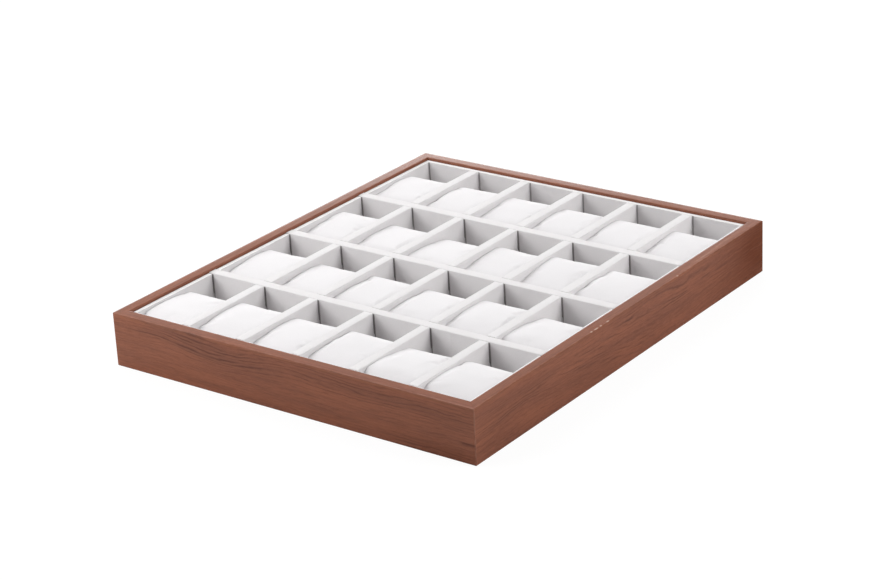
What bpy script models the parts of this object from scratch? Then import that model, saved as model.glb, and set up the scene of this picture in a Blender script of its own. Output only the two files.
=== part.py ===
"""Watch display tray: a shallow mitred walnut frame around a grid of lined cells, each with a pillow.

Metres, +Z up, +Y towards the back of the tray. The origin is on the surface that the tray stands on, under
the middle of its outline. Columns of cells count along +X and rows along +Y.
"""

from math import cos, pi, sin

import bmesh
import bpy
from mathutils import Matrix, Vector

# Outline of the tray
TRAY_WIDTH = 0.340
TRAY_DEPTH = 0.408
TRAY_HEIGHT = 0.0445
COLUMNS = 6
ROWS = 4

# Frame rails, which meet in mitres and are rebated underneath for the base
RAIL_THICKNESS = 0.0094
RAIL_OUTER_RADIUS = 0.0014
RAIL_INNER_RADIUS = 0.0007
RAIL_FOOT_CHAMFER = 0.0005
CORNER_EASING = 0.0006
REBATE_WIDTH = 0.0050

# Base, its felt and the lining of the floor
FELT_RISE = 0.0004
FELT_THICKNESS = 0.0010
BASE_THICKNESS = 0.0040
FLOOR_LINING_THICKNESS = 0.0015

# Padded linings on the inside of the rails
WALL_LINING_THICKNESS = 0.0036
WALL_LINING_DROP = 0.0025
WALL_LINING_RADIUS = 0.0012

# Dividers, which cross in half laps
DIVIDER_THICKNESS = 0.0085
DIVIDER_DROP = 0.0017
DIVIDER_RADIUS = 0.0013

# Pillows, each pushed to the front of its cell
PILLOW_DROP = 0.0045
PILLOW_CROWN = 0.0012
PILLOW_FINGER_GAP = 0.0205
PILLOW_SHOULDER_RADIUS = 0.0130
PILLOW_FOOT_RADIUS = 0.0070
PILLOW_SIDE_RADIUS = 0.0045

# The most that a rounding takes of the side that it rounds
FOOT_SHARE = 0.3
SHOULDER_SHARE = 0.6
SIDE_SHARE = 0.8

# Clearances between pieces that touch
SEAT_GAP = 0.0003
MITRE_GAP = 0.0002
PILLOW_SIDE_GAP = 0.0004

# Facets of a quarter turn
EDGE_FACETS = 3
SHOULDER_FACETS = 4
FOOT_FACETS = 2
SIDE_FACETS = 2
CROWN_FACETS = 4

# Edges that turn by more than this stay sharp in the shading
SHARP_ANGLE = pi / 4

# How far a cutter runs past what it cuts
CUTTER_OVERRUN = 0.005

# Levels, from the floor upwards
FELT_TOP = FELT_RISE + FELT_THICKNESS
BASE_BOTTOM = FELT_TOP + SEAT_GAP
BASE_TOP = BASE_BOTTOM + BASE_THICKNESS
REBATE_TOP = BASE_TOP + SEAT_GAP
FLOOR_BOTTOM = BASE_TOP + SEAT_GAP
FLOOR_TOP = FLOOR_BOTTOM + FLOOR_LINING_THICKNESS
STANDING_LEVEL = FLOOR_TOP + SEAT_GAP
WALL_LINING_TOP = TRAY_HEIGHT - WALL_LINING_DROP
DIVIDER_TOP = TRAY_HEIGHT - DIVIDER_DROP
PILLOW_TOP = TRAY_HEIGHT - PILLOW_DROP
LAP_LEVEL = (STANDING_LEVEL + DIVIDER_TOP) / 2

# Places inwards from the outer faces of the frame
LINING_OUTER_FACE = RAIL_THICKNESS + SEAT_GAP
LINING_INNER_FACE = LINING_OUTER_FACE + WALL_LINING_THICKNESS
REBATE_FACE = RAIL_THICKNESS - REBATE_WIDTH

# The grid of cells
WELL_WIDTH = TRAY_WIDTH - 2 * LINING_INNER_FACE
WELL_DEPTH = TRAY_DEPTH - 2 * LINING_INNER_FACE
CELL_WIDTH = (WELL_WIDTH - (COLUMNS - 1) * DIVIDER_THICKNESS) / COLUMNS
CELL_DEPTH = (WELL_DEPTH - (ROWS - 1) * DIVIDER_THICKNESS) / ROWS

# The pillow that fits a cell
PILLOW_WIDTH = CELL_WIDTH - 2 * PILLOW_SIDE_GAP
PILLOW_LENGTH = CELL_DEPTH - PILLOW_FINGER_GAP - SEAT_GAP
PILLOW_HEIGHT = PILLOW_TOP - STANDING_LEVEL
PILLOW_FOOT = min(PILLOW_FOOT_RADIUS, FOOT_SHARE * PILLOW_HEIGHT, FOOT_SHARE * PILLOW_LENGTH)
PILLOW_SIDE = min(PILLOW_SIDE_RADIUS, SIDE_SHARE * PILLOW_FOOT, FOOT_SHARE * PILLOW_WIDTH)


def clear_scene():
    for old in list(bpy.data.objects):
        bpy.data.objects.remove(old, do_unlink=True)


def plain_material(name, colour, roughness):
    """A Principled BSDF with one colour and one roughness."""
    material = bpy.data.materials.new(name)
    material.use_nodes = True
    shader = material.node_tree.nodes["Principled BSDF"]
    shader.inputs["Base Color"].default_value = (*colour, 1.0)
    shader.inputs["Roughness"].default_value = roughness
    shader.inputs["Metallic"].default_value = 0.0
    material.diffuse_color = (*colour, 1.0)
    return material


def arc(centre, radius, start, facets):
    """Points of a quarter turn in a section, anticlockwise from the angle start."""
    angles = [start + pi / 2 * step / facets for step in range(facets + 1)]
    return [(centre[0] + radius * cos(a), centre[1] + radius * sin(a)) for a in angles]


def loft(rings):
    """A closed mesh through rings of equally many points, with a flat cap on each end."""
    mesh = bmesh.new()
    loops = [[mesh.verts.new(point) for point in ring] for ring in rings]
    count = len(loops[0])
    for near, far in zip(loops, loops[1:]):
        for i in range(count):
            j = (i + 1) % count
            mesh.faces.new((near[i], near[j], far[j], far[i]))
    mesh.faces.new(loops[0])
    mesh.faces.new(loops[-1])
    bmesh.ops.recalc_face_normals(mesh, faces=mesh.faces)
    return mesh


def boxes(corner_pairs):
    """One box between each pair of lowest and highest corners."""
    mesh = bmesh.new()
    for low, high in corner_pairs:
        size = Vector(high) - Vector(low)
        middle = (Vector(high) + Vector(low)) / 2
        place = Matrix.Translation(middle) @ Matrix.Diagonal((*size, 1.0))
        bmesh.ops.create_cube(mesh, size=1.0, matrix=place)
    return mesh


def add_object(name, mesh, material, parent, location=(0, 0, 0), turn=0.0):
    """Makes a bmesh the named object, shaded smooth over its roundings and placed under its parent."""
    data = bpy.data.meshes.new(name)
    mesh.to_mesh(data)
    mesh.free()
    data.shade_smooth()
    data.set_sharp_from_angle(angle=SHARP_ANGLE)
    made = bpy.data.objects.new(name, data)
    bpy.context.scene.collection.objects.link(made)
    if material:
        data.materials.append(material)
    made.parent = parent
    made.location = location
    made.rotation_euler.z = turn
    return made


def divider_offsets(count, cell):
    """Centres of the dividers between count cells, from the middle of the tray."""
    pitch = cell + DIVIDER_THICKNESS
    return [(n - count / 2) * pitch for n in range(1, count)]


def rail_section():
    """(inwards from the outer face, height) around a rail, with its rebate and its eased edges."""
    outer_centre = (RAIL_OUTER_RADIUS, TRAY_HEIGHT - RAIL_OUTER_RADIUS)
    inner_centre = (RAIL_THICKNESS - RAIL_INNER_RADIUS, TRAY_HEIGHT - RAIL_INNER_RADIUS)
    foot = [(0.0, RAIL_FOOT_CHAMFER), (RAIL_FOOT_CHAMFER, 0.0)]
    rebate = [(REBATE_FACE, 0.0), (REBATE_FACE, REBATE_TOP), (RAIL_THICKNESS, REBATE_TOP)]
    inner_edge = arc(inner_centre, RAIL_INNER_RADIUS, 0, EDGE_FACETS)
    outer_edge = arc(outer_centre, RAIL_OUTER_RADIUS, pi / 2, EDGE_FACETS)
    return foot + rebate + inner_edge + outer_edge


def rail_mesh(length):
    """A rail along X, its outer face on Y = 0, mitred at both ends with the corner of each mitre eased."""
    section = rail_section()
    half = length / 2 - MITRE_GAP
    rings = []
    for end in (-1, 1):
        rings.append([(end * (half - inwards), inwards, height) for inwards, height in section])
    mesh = loft(rings)
    for end in (-1, 1):
        geometry = mesh.verts[:] + mesh.edges[:] + mesh.faces[:]
        bmesh.ops.bisect_plane(
            mesh,
            geom=geometry,
            plane_co=(end * (half - CORNER_EASING), 0, 0),
            plane_no=(end, -1, 0),
            clear_outer=True,
        )
        bmesh.ops.holes_fill(mesh, edges=mesh.edges[:])
    bmesh.ops.recalc_face_normals(mesh, faces=mesh.faces)
    return mesh


def make_rails(parent, walnut):
    sides = (
        ("front_rail", TRAY_WIDTH, (0, -TRAY_DEPTH / 2, 0), 0.0),
        ("right_rail", TRAY_DEPTH, (TRAY_WIDTH / 2, 0, 0), pi / 2),
        ("back_rail", TRAY_WIDTH, (0, TRAY_DEPTH / 2, 0), pi),
        ("left_rail", TRAY_DEPTH, (-TRAY_WIDTH / 2, 0, 0), -pi / 2),
    )
    for name, length, location, turn in sides:
        add_object(name, rail_mesh(length), walnut, parent, location, turn)


def make_sheet(name, inset, bottom, top, material, parent):
    """A flat sheet across the tray, its edge inset from the outer faces."""
    x = TRAY_WIDTH / 2 - inset
    y = TRAY_DEPTH / 2 - inset
    add_object(name, boxes([((-x, -y, bottom), (x, y, top))]), material, parent)


def make_floor(parent, board, felt, suede):
    make_sheet("underside_felt", REBATE_FACE + SEAT_GAP, FELT_RISE, FELT_TOP, felt, parent)
    make_sheet("base_board", REBATE_FACE + SEAT_GAP, BASE_BOTTOM, BASE_TOP, board, parent)
    make_sheet("floor_lining", LINING_OUTER_FACE, FLOOR_BOTTOM, FLOOR_TOP, suede, parent)


def wrapped_board(length, thickness, top, radius):
    """A standing board along X, centred on Y = 0, its two top edges rounded by the fabric that wraps it."""
    half = thickness / 2
    radius = min(radius, half)
    right = arc((half - radius, top - radius), radius, 0, EDGE_FACETS)
    left = arc((radius - half, top - radius), radius, pi / 2, EDGE_FACETS)
    if radius == half:
        left = left[1:]
    section = [(-half, STANDING_LEVEL), (half, STANDING_LEVEL)] + right + left
    return loft([[(end * length / 2, y, z) for y, z in section] for end in (-1, 1)])


def make_slot_cutter(name, parent, bars):
    """A guide that is never a part: one box for each slot or notch."""
    cutter = add_object(name, boxes(bars), None, parent)
    cutter.hide_render = True
    cutter.display_type = "WIRE"
    return cutter


def upper_slot_bars():
    """Room for the long dividers, in the upper half of all that they cross."""
    reach = TRAY_WIDTH / 2
    half = DIVIDER_THICKNESS / 2 + SEAT_GAP
    low = LAP_LEVEL - SEAT_GAP / 2
    high = TRAY_HEIGHT + CUTTER_OVERRUN
    return [((-reach, y - half, low), (reach, y + half, high)) for y in divider_offsets(ROWS, CELL_DEPTH)]


def lower_slot_bars():
    """Room in the lower half of the long dividers: for cross dividers and, at the ends, the side linings."""
    reach = TRAY_DEPTH / 2
    half = DIVIDER_THICKNESS / 2 + SEAT_GAP
    low = -CUTTER_OVERRUN
    high = LAP_LEVEL + SEAT_GAP / 2
    bars = [((x - half, -reach, low), (x + half, reach, high)) for x in divider_offsets(COLUMNS, CELL_WIDTH)]
    inner = WELL_WIDTH / 2 - SEAT_GAP
    outer = TRAY_WIDTH / 2
    bars.append(((-outer, -reach, low), (-inner, reach, high)))
    bars.append(((inner, -reach, low), (outer, reach, high)))
    return bars


def cut(target, cutter):
    slots = target.modifiers.new("slots", "BOOLEAN")
    slots.operation = "DIFFERENCE"
    slots.solver = "EXACT"
    slots.object = cutter


def make_wall_linings(parent, suede, upper_slots):
    """Linings on the four rails: the front and back ones run through, and the side ones fit between them."""
    middle = LINING_OUTER_FACE + WALL_LINING_THICKNESS / 2
    through = TRAY_WIDTH - 2 * LINING_OUTER_FACE
    between = WELL_DEPTH - 2 * SEAT_GAP
    x = TRAY_WIDTH / 2 - middle
    y = TRAY_DEPTH / 2 - middle
    sides = (
        ("front_lining", through, (0, -y, 0), 0.0),
        ("back_lining", through, (0, y, 0), 0.0),
        ("left_lining", between, (-x, 0, 0), pi / 2),
        ("right_lining", between, (x, 0, 0), pi / 2),
    )
    for name, length, location, turn in sides:
        mesh = wrapped_board(length, WALL_LINING_THICKNESS, WALL_LINING_TOP, WALL_LINING_RADIUS)
        lining = add_object(name, mesh, suede, parent, location, turn)
        if length == between:
            cut(lining, upper_slots)


def make_dividers(parent, suede, upper_slots, lower_slots):
    """Long dividers reach the side rails through notched linings; cross dividers stand between the others."""
    long_length = TRAY_WIDTH - 2 * LINING_OUTER_FACE
    cross_length = WELL_DEPTH - 2 * SEAT_GAP
    for n, y in enumerate(divider_offsets(ROWS, CELL_DEPTH), start=1):
        mesh = wrapped_board(long_length, DIVIDER_THICKNESS, DIVIDER_TOP, DIVIDER_RADIUS)
        cut(add_object(f"long_divider_{n}", mesh, suede, parent, (0, y, 0)), lower_slots)
    for n, x in enumerate(divider_offsets(COLUMNS, CELL_WIDTH), start=1):
        mesh = wrapped_board(cross_length, DIVIDER_THICKNESS, DIVIDER_TOP, DIVIDER_RADIUS)
        cut(add_object(f"cross_divider_{n}", mesh, suede, parent, (x, 0, 0), pi / 2), upper_slots)


def pillow_section(inset):
    """(along Y, height) around a pillow, from its back foot over the top, the outline drawn in by inset."""
    half = PILLOW_LENGTH / 2
    edge = PILLOW_HEIGHT - PILLOW_CROWN
    foot = PILLOW_FOOT
    shoulder = min(PILLOW_SHOULDER_RADIUS, SHOULDER_SHARE * edge, half - foot)
    flat = half - shoulder
    back_foot = arc((half - foot, foot), foot - inset, -pi / 2, FOOT_FACETS)
    back = arc((flat, edge - shoulder), shoulder - inset, 0, SHOULDER_FACETS)
    crown = []
    for step in range(1, CROWN_FACETS):
        y = flat * (1 - 2 * step / CROWN_FACETS)
        crown.append((y, edge - inset + PILLOW_CROWN * (1 - (y / flat) ** 2)))
    front = [(-y, z) for y, z in reversed(back)]
    front_foot = [(-y, z) for y, z in reversed(back_foot)]
    return back_foot + back + crown + front + front_foot


def pillow_mesh():
    """A cushion with full shoulders at front and back, a slight crown and softly rounded sides."""
    rings = []
    for side in (-1, 1):
        turns = [step / SIDE_FACETS for step in range(SIDE_FACETS + 1)]
        if side == 1:
            turns.reverse()
        for turn in turns:
            inset = PILLOW_SIDE * (1 - sin(turn * pi / 2))
            x = side * (PILLOW_WIDTH / 2 - PILLOW_SIDE * (1 - cos(turn * pi / 2)))
            rings.append([(x, y, z) for y, z in pillow_section(inset)])
    return loft(rings)


def make_pillows(parent, suede):
    for row in range(ROWS):
        front_wall = (row - ROWS / 2) * (CELL_DEPTH + DIVIDER_THICKNESS) + DIVIDER_THICKNESS / 2
        y = front_wall + SEAT_GAP + PILLOW_LENGTH / 2
        for column in range(COLUMNS):
            x = (column + 0.5 - COLUMNS / 2) * (CELL_WIDTH + DIVIDER_THICKNESS)
            name = f"pillow_r{row + 1}c{column + 1}"
            add_object(name, pillow_mesh(), suede, parent, (x, y, STANDING_LEVEL))


def main():
    clear_scene()
    walnut = plain_material("walnut_veneer", (0.215, 0.092, 0.060), 0.42)
    board = plain_material("base_fibreboard", (0.300, 0.205, 0.130), 0.80)
    felt = plain_material("grey_felt", (0.420, 0.410, 0.400), 0.95)
    wall_suede = plain_material("pale_suede_walls", (0.800, 0.785, 0.775), 0.90)
    pillow_suede = plain_material("pale_suede_pillows", (0.850, 0.845, 0.840), 0.92)
    tray = bpy.data.objects.new("tray", None)
    bpy.context.scene.collection.objects.link(tray)
    upper_slots = make_slot_cutter("upper_slots", tray, upper_slot_bars())
    lower_slots = make_slot_cutter("lower_slots", tray, lower_slot_bars())
    make_rails(tray, walnut)
    make_floor(tray, board, felt, wall_suede)
    make_wall_linings(tray, wall_suede, upper_slots)
    make_dividers(tray, wall_suede, upper_slots, lower_slots)
    make_pillows(tray, pillow_suede)


main()
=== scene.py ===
"""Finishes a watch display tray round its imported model: walnut rails, suede grid, pillows and studio."""

from math import cos, pi, radians, sin, sqrt

import bmesh
import bpy
import numpy as np
from bpy.props import FloatProperty, FloatVectorProperty, IntProperty, PointerProperty
from mathutils import Matrix, Vector, noise


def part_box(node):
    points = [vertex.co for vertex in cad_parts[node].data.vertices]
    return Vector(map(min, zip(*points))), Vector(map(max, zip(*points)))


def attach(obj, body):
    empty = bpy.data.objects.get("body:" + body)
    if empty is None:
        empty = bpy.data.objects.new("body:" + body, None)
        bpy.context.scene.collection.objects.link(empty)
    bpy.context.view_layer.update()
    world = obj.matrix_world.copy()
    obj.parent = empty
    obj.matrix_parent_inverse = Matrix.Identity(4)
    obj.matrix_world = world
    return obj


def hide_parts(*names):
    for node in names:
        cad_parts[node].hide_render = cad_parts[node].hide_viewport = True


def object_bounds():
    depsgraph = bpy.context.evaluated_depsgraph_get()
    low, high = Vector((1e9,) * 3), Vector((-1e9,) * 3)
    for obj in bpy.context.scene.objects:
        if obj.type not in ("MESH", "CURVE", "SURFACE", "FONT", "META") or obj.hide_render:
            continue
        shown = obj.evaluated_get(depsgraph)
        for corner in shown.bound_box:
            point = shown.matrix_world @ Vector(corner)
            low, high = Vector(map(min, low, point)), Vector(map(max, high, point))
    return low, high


bl_info = {
    "name": "Watch Display Tray",
    "version": (1, 0, 0),
    "blender": (4, 5, 0),
    "location": "3D View > Sidebar > Watch Tray",
    "description": "Finishes a walnut and suede watch display tray and sets up its studio",
    "category": "Object",
}

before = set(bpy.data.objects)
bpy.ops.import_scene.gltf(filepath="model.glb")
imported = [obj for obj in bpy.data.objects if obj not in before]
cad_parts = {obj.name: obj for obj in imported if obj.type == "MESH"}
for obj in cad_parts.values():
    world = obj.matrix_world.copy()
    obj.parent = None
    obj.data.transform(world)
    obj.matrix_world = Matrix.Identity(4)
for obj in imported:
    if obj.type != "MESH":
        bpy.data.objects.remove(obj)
CAD_LOW, CAD_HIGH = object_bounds()

BODY = "root"
MM = 0.001

# Places closer than this count as the same
CLOSE = 1e-6

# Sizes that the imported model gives
FIT_GAP = 0.3 * MM
TRAY_WIDTH = CAD_HIGH.x - CAD_LOW.x
TRAY_DEPTH = CAD_HIGH.y - CAD_LOW.y
RIM_HEIGHT = CAD_HIGH.z
RAIL_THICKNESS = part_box("front_rail")[1].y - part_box("front_rail")[0].y
BASE_LOW, BASE_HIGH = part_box("base_board")
REBATE_FACE = BASE_LOW.x - CAD_LOW.x - FIT_GAP
REBATE_TOP = BASE_HIGH.z + FIT_GAP
FLOOR_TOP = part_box("floor_lining")[1].z
LONG_DIVIDERS = sorted(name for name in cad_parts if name.startswith("long_divider"))
CROSS_DIVIDERS = sorted(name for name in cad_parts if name.startswith("cross_divider"))
PILLOWS = sorted(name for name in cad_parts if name.startswith("pillow"))
LAP_LEVEL = (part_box(LONG_DIVIDERS[0])[0].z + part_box(CROSS_DIVIDERS[0])[1].z) / 2

# Rails: the outer edge of each lies along its own X axis, seen from outside the tray
RAIL_SIDES = {
    "front_rail": (TRAY_WIDTH, (0, CAD_LOW.y, 0), 0.0),
    "right_rail": (TRAY_DEPTH, (CAD_HIGH.x, 0, 0), pi / 2),
    "back_rail": (TRAY_WIDTH, (0, CAD_HIGH.y, 0), pi),
    "left_rail": (TRAY_DEPTH, (CAD_LOW.x, 0, 0), -pi / 2),
}

# Veneer figure of each rail, in millimetres along it from its left end and up from its foot.
# A sag bends the grain: (along, height, half length, half height, drop).
# A band is darker heartwood: (from, to, height in the grain, half width, strength).
# A fall lets the grain down towards its far end, most at its foot: (from, to, top, foot, drop).
# An arm is a dark line on the slant: (from, height, to, height, half width, strength).
# A streak is a black line: (from, to, height, half width, strength).
# A stain is redder: (along, height, half length, half height, strength).
# A flame is a cathedral figure: (along, height, how fast its arches close).
FIGURES = {
    "front_rail": {
        "sags": [(108, 34, 46, 16, 5.0), (235, 22, 60, 14, 2.0), (30, 14, 40, 12, -2.5)],
        "bands": [
            (20, 172, 37.0, 9.0, 0.70),
            (50, 165, 30.5, 3.0, 0.25),
            (140, 365, 33.0, 8.0, 0.42),
            (0, 60, 36.0, 3.0, 0.25),
            (240, 365, 2.0, 6.0, 0.40),
        ],
        "streaks": [
            (326, 345, 14.8, 0.7, 0.85),
            (302, 316, 17.0, 0.5, 0.35),
            (205, 222, 26.5, 0.5, 0.30),
        ],
        "stains": [(345, 4, 60, 7, 0.35)],
    },
    "right_rail": {
        "sags": [(300, 34, 60, 9, 3.0), (60, 22, 55, 14, -4.0)],
        "falls": [(95, 255, 38, 4, 11.0), (265, 400, 34, 4, -8.0)],
        "bands": [
            (-10, 120, 23.0, 4.0, 0.55),
            (55, 105, 29.0, 0.9, 0.50),
            (120, 290, 33.0, 5.0, 0.25),
            (190, 430, 38.5, 2.0, 0.40),
            (300, 430, 27.0, 4.0, 0.25),
        ],
        "arms": [
            (178, 36.5, 288, 26.6, 1.2, 0.50),
            (226, 24.5, 288, 26.4, 1.4, 0.38),
            (104, 27.5, 222, 1.5, 1.3, 0.42),
            (112, 31.0, 240, 3.0, 1.0, 0.40),
            (126, 33.5, 238, 8.5, 0.9, 0.34),
            (150, 34.5, 262, 10.5, 0.9, 0.30),
            (196, 31.0, 275, 15.0, 0.8, 0.22),
        ],
        "streaks": [(308, 324, 29.2, 0.5, 0.35), (331, 352, 28.0, 0.5, 0.40)],
        "stains": [(425, 36, 80, 22, 1.0), (415, 10, 60, 20, 0.8)],
    },
    "back_rail": {
        "sags": [(90, 20, 55, 15, -4.0), (250, 26, 50, 14, 4.5)],
        "bands": [(10, 200, 18.0, 3.5, 0.7), (120, 330, 33.0, 3.0, 0.6), (200, 350, 8.0, 2.5, 0.4)],
    },
    "left_rail": {
        "sags": [(120, 24, 60, 15, 5.0), (300, 18, 55, 14, -4.0)],
        "bands": [(30, 260, 30.0, 3.2, 0.7), (180, 400, 15.0, 3.4, 0.6), (0, 160, 8.0, 2.4, 0.4)],
        "flame": (250, 22.0, 0.10),
    },
}

# Knocks in the outer top edge of the right rail: (millimetres from its left end, half length, depth)
EDGE_CHIPS = [
    (152.0, 2.4, 0.30),
    (158.5, 5.0, 0.40),
    (165.0, 2.4, 0.30),
    (174.5, 3.4, 0.35),
    (275.0, 1.6, 0.30),
]

# How a pillow can lie: millimetres that its filling raises it, degrees that its front is up,
# degrees that its right side is up, and millimetres that it sits back from its cell's front
FILLINGS = {"plump": 1.6, "full": 0.7, "even": 0.1, "thin": -0.6, "slack": -1.5}
TIPS = {"raised": 4.8, "lifted": 2.0, "level": -0.2, "sunk": -1.6, "deep": -3.6, "steep": -6.2}
LEANS = {"right": 0.9, "upright": 0.1, "left": -0.7}
PLACES = {"pushed": 0.3, "loose": 1.1}

# Each row of pillows from the front one back, and in it each pillow from the left
PILLOW_ROWS = [
    [
        "full lifted upright pushed",
        "full sunk upright loose",
        "even sunk right pushed",
        "full sunk left pushed",
        "plump raised right loose",
        "plump lifted left loose",
    ],
    [
        "even sunk right loose",
        "slack level upright loose",
        "thin level left loose",
        "thin lifted left loose",
        "full sunk right loose",
        "even raised left loose",
    ],
    [
        "thin deep right loose",
        "slack level upright loose",
        "slack raised upright loose",
        "slack deep left loose",
        "even steep right loose",
        "plump level right loose",
    ],
    [
        "even sunk right loose",
        "even sunk right loose",
        "thin deep right pushed",
        "even level upright loose",
        "even sunk upright pushed",
        "thin deep left pushed",
    ],
]

# Cells of the veneer's noise in metres: along the grain, across it and through it
BROAD_TONE = (0.090, 0.0075, 1.0)
STREAKS = (0.014, 0.0011, 1.0)
FIBRES = (0.0060, 0.00050, 1.0)
PORES = (0.0040, 0.00020, 1.0)
SLOW_WAVER = (0.070, 0.0100, 1.0)
QUICK_WAVER = (0.0110, 0.0040, 1.0)
LINE_BREAKS = (0.034, 0.0030, 1.0)

# Blobs in which the worn edge and its painted highlight show
WEAR_CELL = 6 * MM

# How deep the veneer's fibres and pores are
FIBRE_RELIEF = 0.03 * MM
PORE_RELIEF = 0.04 * MM

# A nap: size of its patches and of its fibres in metres, and how strongly each of them shades it
SUEDE_NAP = (0.022, 0.0006, 0.035, 0.10)
FELT_NAP = (0.030, 0.0009, 0.10, 0.30)
BOARD_NAP = (0.03, 0.0009, 0.10, 0.45)
SUEDE_SHEEN = 0.25
FELT_SHEEN = 0.15

# Fibreboard and the darker flecks in it
FIBREBOARD = (0.30, 0.205, 0.13)
FLECKS = (0.14, 0.085, 0.05)
FLECK_CELL = (0.0022, 0.0007, 0.001)

# Painted shade: a grey laid on the cut faces in the slots and on narrow strips in the cells' corners, to
# darken the slits where two boards meet
SLIT_SHADE_GREY = (0.36, 0.34, 0.335)

# Painted light: a paler colour on the suede folded over the linings' tops, brightening them against the
# rails' shade
PAINTED_LIGHT_FOLD = (0.97, 0.955, 0.955)

# Upright creases in the suede of a divider's front face: (divider, X in millimetres, height, half width)
WALL_CREASES = [
    ("long_divider_1", 76.0, 0.30, 0.9),
    ("long_divider_1", 89.0, 0.16, 1.2),
    ("long_divider_3", -74.0, 0.20, 1.0),
]

# Waves in the suede: their length along a board, up it and along its top, and shifts of their noise
WAVE_ALONG = 34 * MM
WAVE_UP = 26 * MM
TOP_WAVE = 50 * MM
FACE_SHIFT = 5.0
TOP_SHIFT = 20.0

# Studio floor: half its width, and the gap between it and the tray
FLOOR_REACH = 6.0
FLOOR_GAP = 0.1 * MM

# Softboxes: degrees round from the tray's front and up, then distance, width and height in metres
SOFTBOXES = {
    "backdrop": (217, 15, 2.236, 3.0, 0.39),
    "backdrop_top": (217, 25, 2.236, 3.0, 0.39),
    "key": (238, 58, 1.15, 0.9, 0.9),
    "front_left": (322, 32, 1.25, 0.8, 0.8),
    "right_back": (108, 32, 1.35, 0.8, 0.8),
    "right": (85, 30, 1.8, 1.3, 1.1),
    "under": (0, -90, 0.45, 0.28, 0.28),
}


class Graph:
    """A node tree that is being built: each call adds one node and feeds its inputs."""

    def __init__(self, tree):
        self.tree = tree

    def node(self, kind, inputs=None, **settings):
        made = self.tree.nodes.new(kind)
        for name, value in settings.items():
            setattr(made, name, value)
        for key, value in (inputs or {}).items():
            self.feed(made.inputs[key], value)
        return made

    def feed(self, socket, value):
        if isinstance(value, bpy.types.NodeSocket):
            self.tree.links.new(value, socket)
        else:
            socket.default_value = value

    def math(self, operation, a, b=0.0, c=0.0):
        return self.node("ShaderNodeMath", {0: a, 1: b, 2: c}, operation=operation).outputs[0]

    def vector(self, operation, a, b=(0.0, 0.0, 0.0)):
        return self.node("ShaderNodeVectorMath", {0: a, 1: b}, operation=operation).outputs[0]

    def scaled(self, vector, factor):
        node = self.node("ShaderNodeVectorMath", {0: vector, "Scale": factor}, operation="SCALE")
        return node.outputs[0]

    def remap(self, value, low, high, to_low=0.0, to_high=1.0):
        places = {0: value, 1: low, 2: high, 3: to_low, 4: to_high}
        return self.node("ShaderNodeMapRange", places, interpolation_type="SMOOTHSTEP").outputs[0]

    def noise(self, coordinates, cell, detail=2.0, roughness=0.5, distortion=0.0):
        """Noise from 0 to 1 whose blobs are about cell metres across, one length for each axis."""
        finer = self.vector("DIVIDE", coordinates, cell)
        inputs = {"Vector": finer, "Scale": 1.0, "Detail": detail, "Roughness": roughness}
        inputs["Distortion"] = distortion
        return self.node("ShaderNodeTexNoise", inputs).outputs[0]

    def mix(self, factor, a, b):
        return self.node("ShaderNodeMix", {0: factor, 6: a, 7: b}, data_type="RGBA").outputs[2]

    def times(self, a, b):
        return self.math("MULTIPLY", a, b)

    def plus(self, a, b):
        return self.math("ADD", a, b)

    def minus(self, a, b):
        return self.math("SUBTRACT", a, b)

    def swing(self, value, strength):
        """A noise from 0 to 1 as a change round zero."""
        return self.times(self.minus(value, 0.5), strength)

    def even(self, length):
        """The same length along all three axes."""
        return self.node("ShaderNodeCombineXYZ", {axis: length for axis in "XYZ"}).outputs[0]

    def object_place(self):
        return self.node("ShaderNodeTexCoord").outputs["Object"]

    def attribute(self, name):
        return self.node("ShaderNodeAttribute", attribute_name=name).outputs["Fac"]

    def bump(self, height, strength):
        inputs = {"Strength": strength, "Distance": 1.0, "Height": height}
        return self.node("ShaderNodeBump", inputs).outputs["Normal"]

    def group(self, tree, values):
        """A node of a shared effect, fed by the names of its inputs."""
        return self.node("ShaderNodeGroup", values, node_tree=tree)


def rgba(colour):
    return (*colour, 1.0)


def new_group(kind, name, inputs, outputs):
    """A node group with named sockets: its graph, its inputs by name and its output node."""
    tree = bpy.data.node_groups.new(name, kind)
    for direction, sockets in (("INPUT", inputs), ("OUTPUT", outputs)):
        for label, socket_type in sockets.items():
            tree.interface.new_socket(label, in_out=direction, socket_type=socket_type)
    graph = Graph(tree)
    given = graph.node("NodeGroupInput").outputs
    result = graph.node("NodeGroupOutput")
    return graph, given, result


def shader_group(name, make, inputs, outputs):
    """The shared effect of that name, made by make at its first use."""
    found = bpy.data.node_groups.get(name)
    if found:
        return found
    graph, given, result = new_group("ShaderNodeTree", name, inputs, outputs)
    make(graph, given, result)
    return graph.tree


def new_material(name):
    """An empty material: its graph and its Principled BSDF."""
    material = bpy.data.materials.new(name)
    material.use_nodes = True
    return material, Graph(material.node_tree), material.node_tree.nodes["Principled BSDF"]


def add_piece(name, data, material):
    data.materials.clear()
    data.materials.append(material)
    made = bpy.data.objects.new(name, data)
    bpy.context.scene.collection.objects.link(made)
    return made


def mesh_from(name, mesh, sharp=radians(40)):
    data = bpy.data.meshes.new(name)
    bmesh.ops.recalc_face_normals(mesh, faces=mesh.faces)
    mesh.to_mesh(data)
    mesh.free()
    data.shade_smooth()
    data.set_sharp_from_angle(angle=sharp)
    return data


def settle(piece, slot, *nodes):
    """Fixes a finished piece to the tray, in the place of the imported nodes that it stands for."""
    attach(piece, BODY)
    if nodes:
        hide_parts(*nodes)
    return piece


def evaluated_mesh(piece):
    depsgraph = bpy.context.evaluated_depsgraph_get()
    return bpy.data.meshes.new_from_object(piece.evaluated_get(depsgraph))


def bake_modifiers(piece):
    """Turns what the modifiers make into the piece's own plain mesh."""
    made = evaluated_mesh(piece)
    piece.modifiers.clear()
    piece.data = made
    return piece


def read_points(data):
    points = np.zeros(len(data.vertices) * 3)
    data.vertices.foreach_get("co", points)
    return points.reshape(-1, 3)


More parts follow.
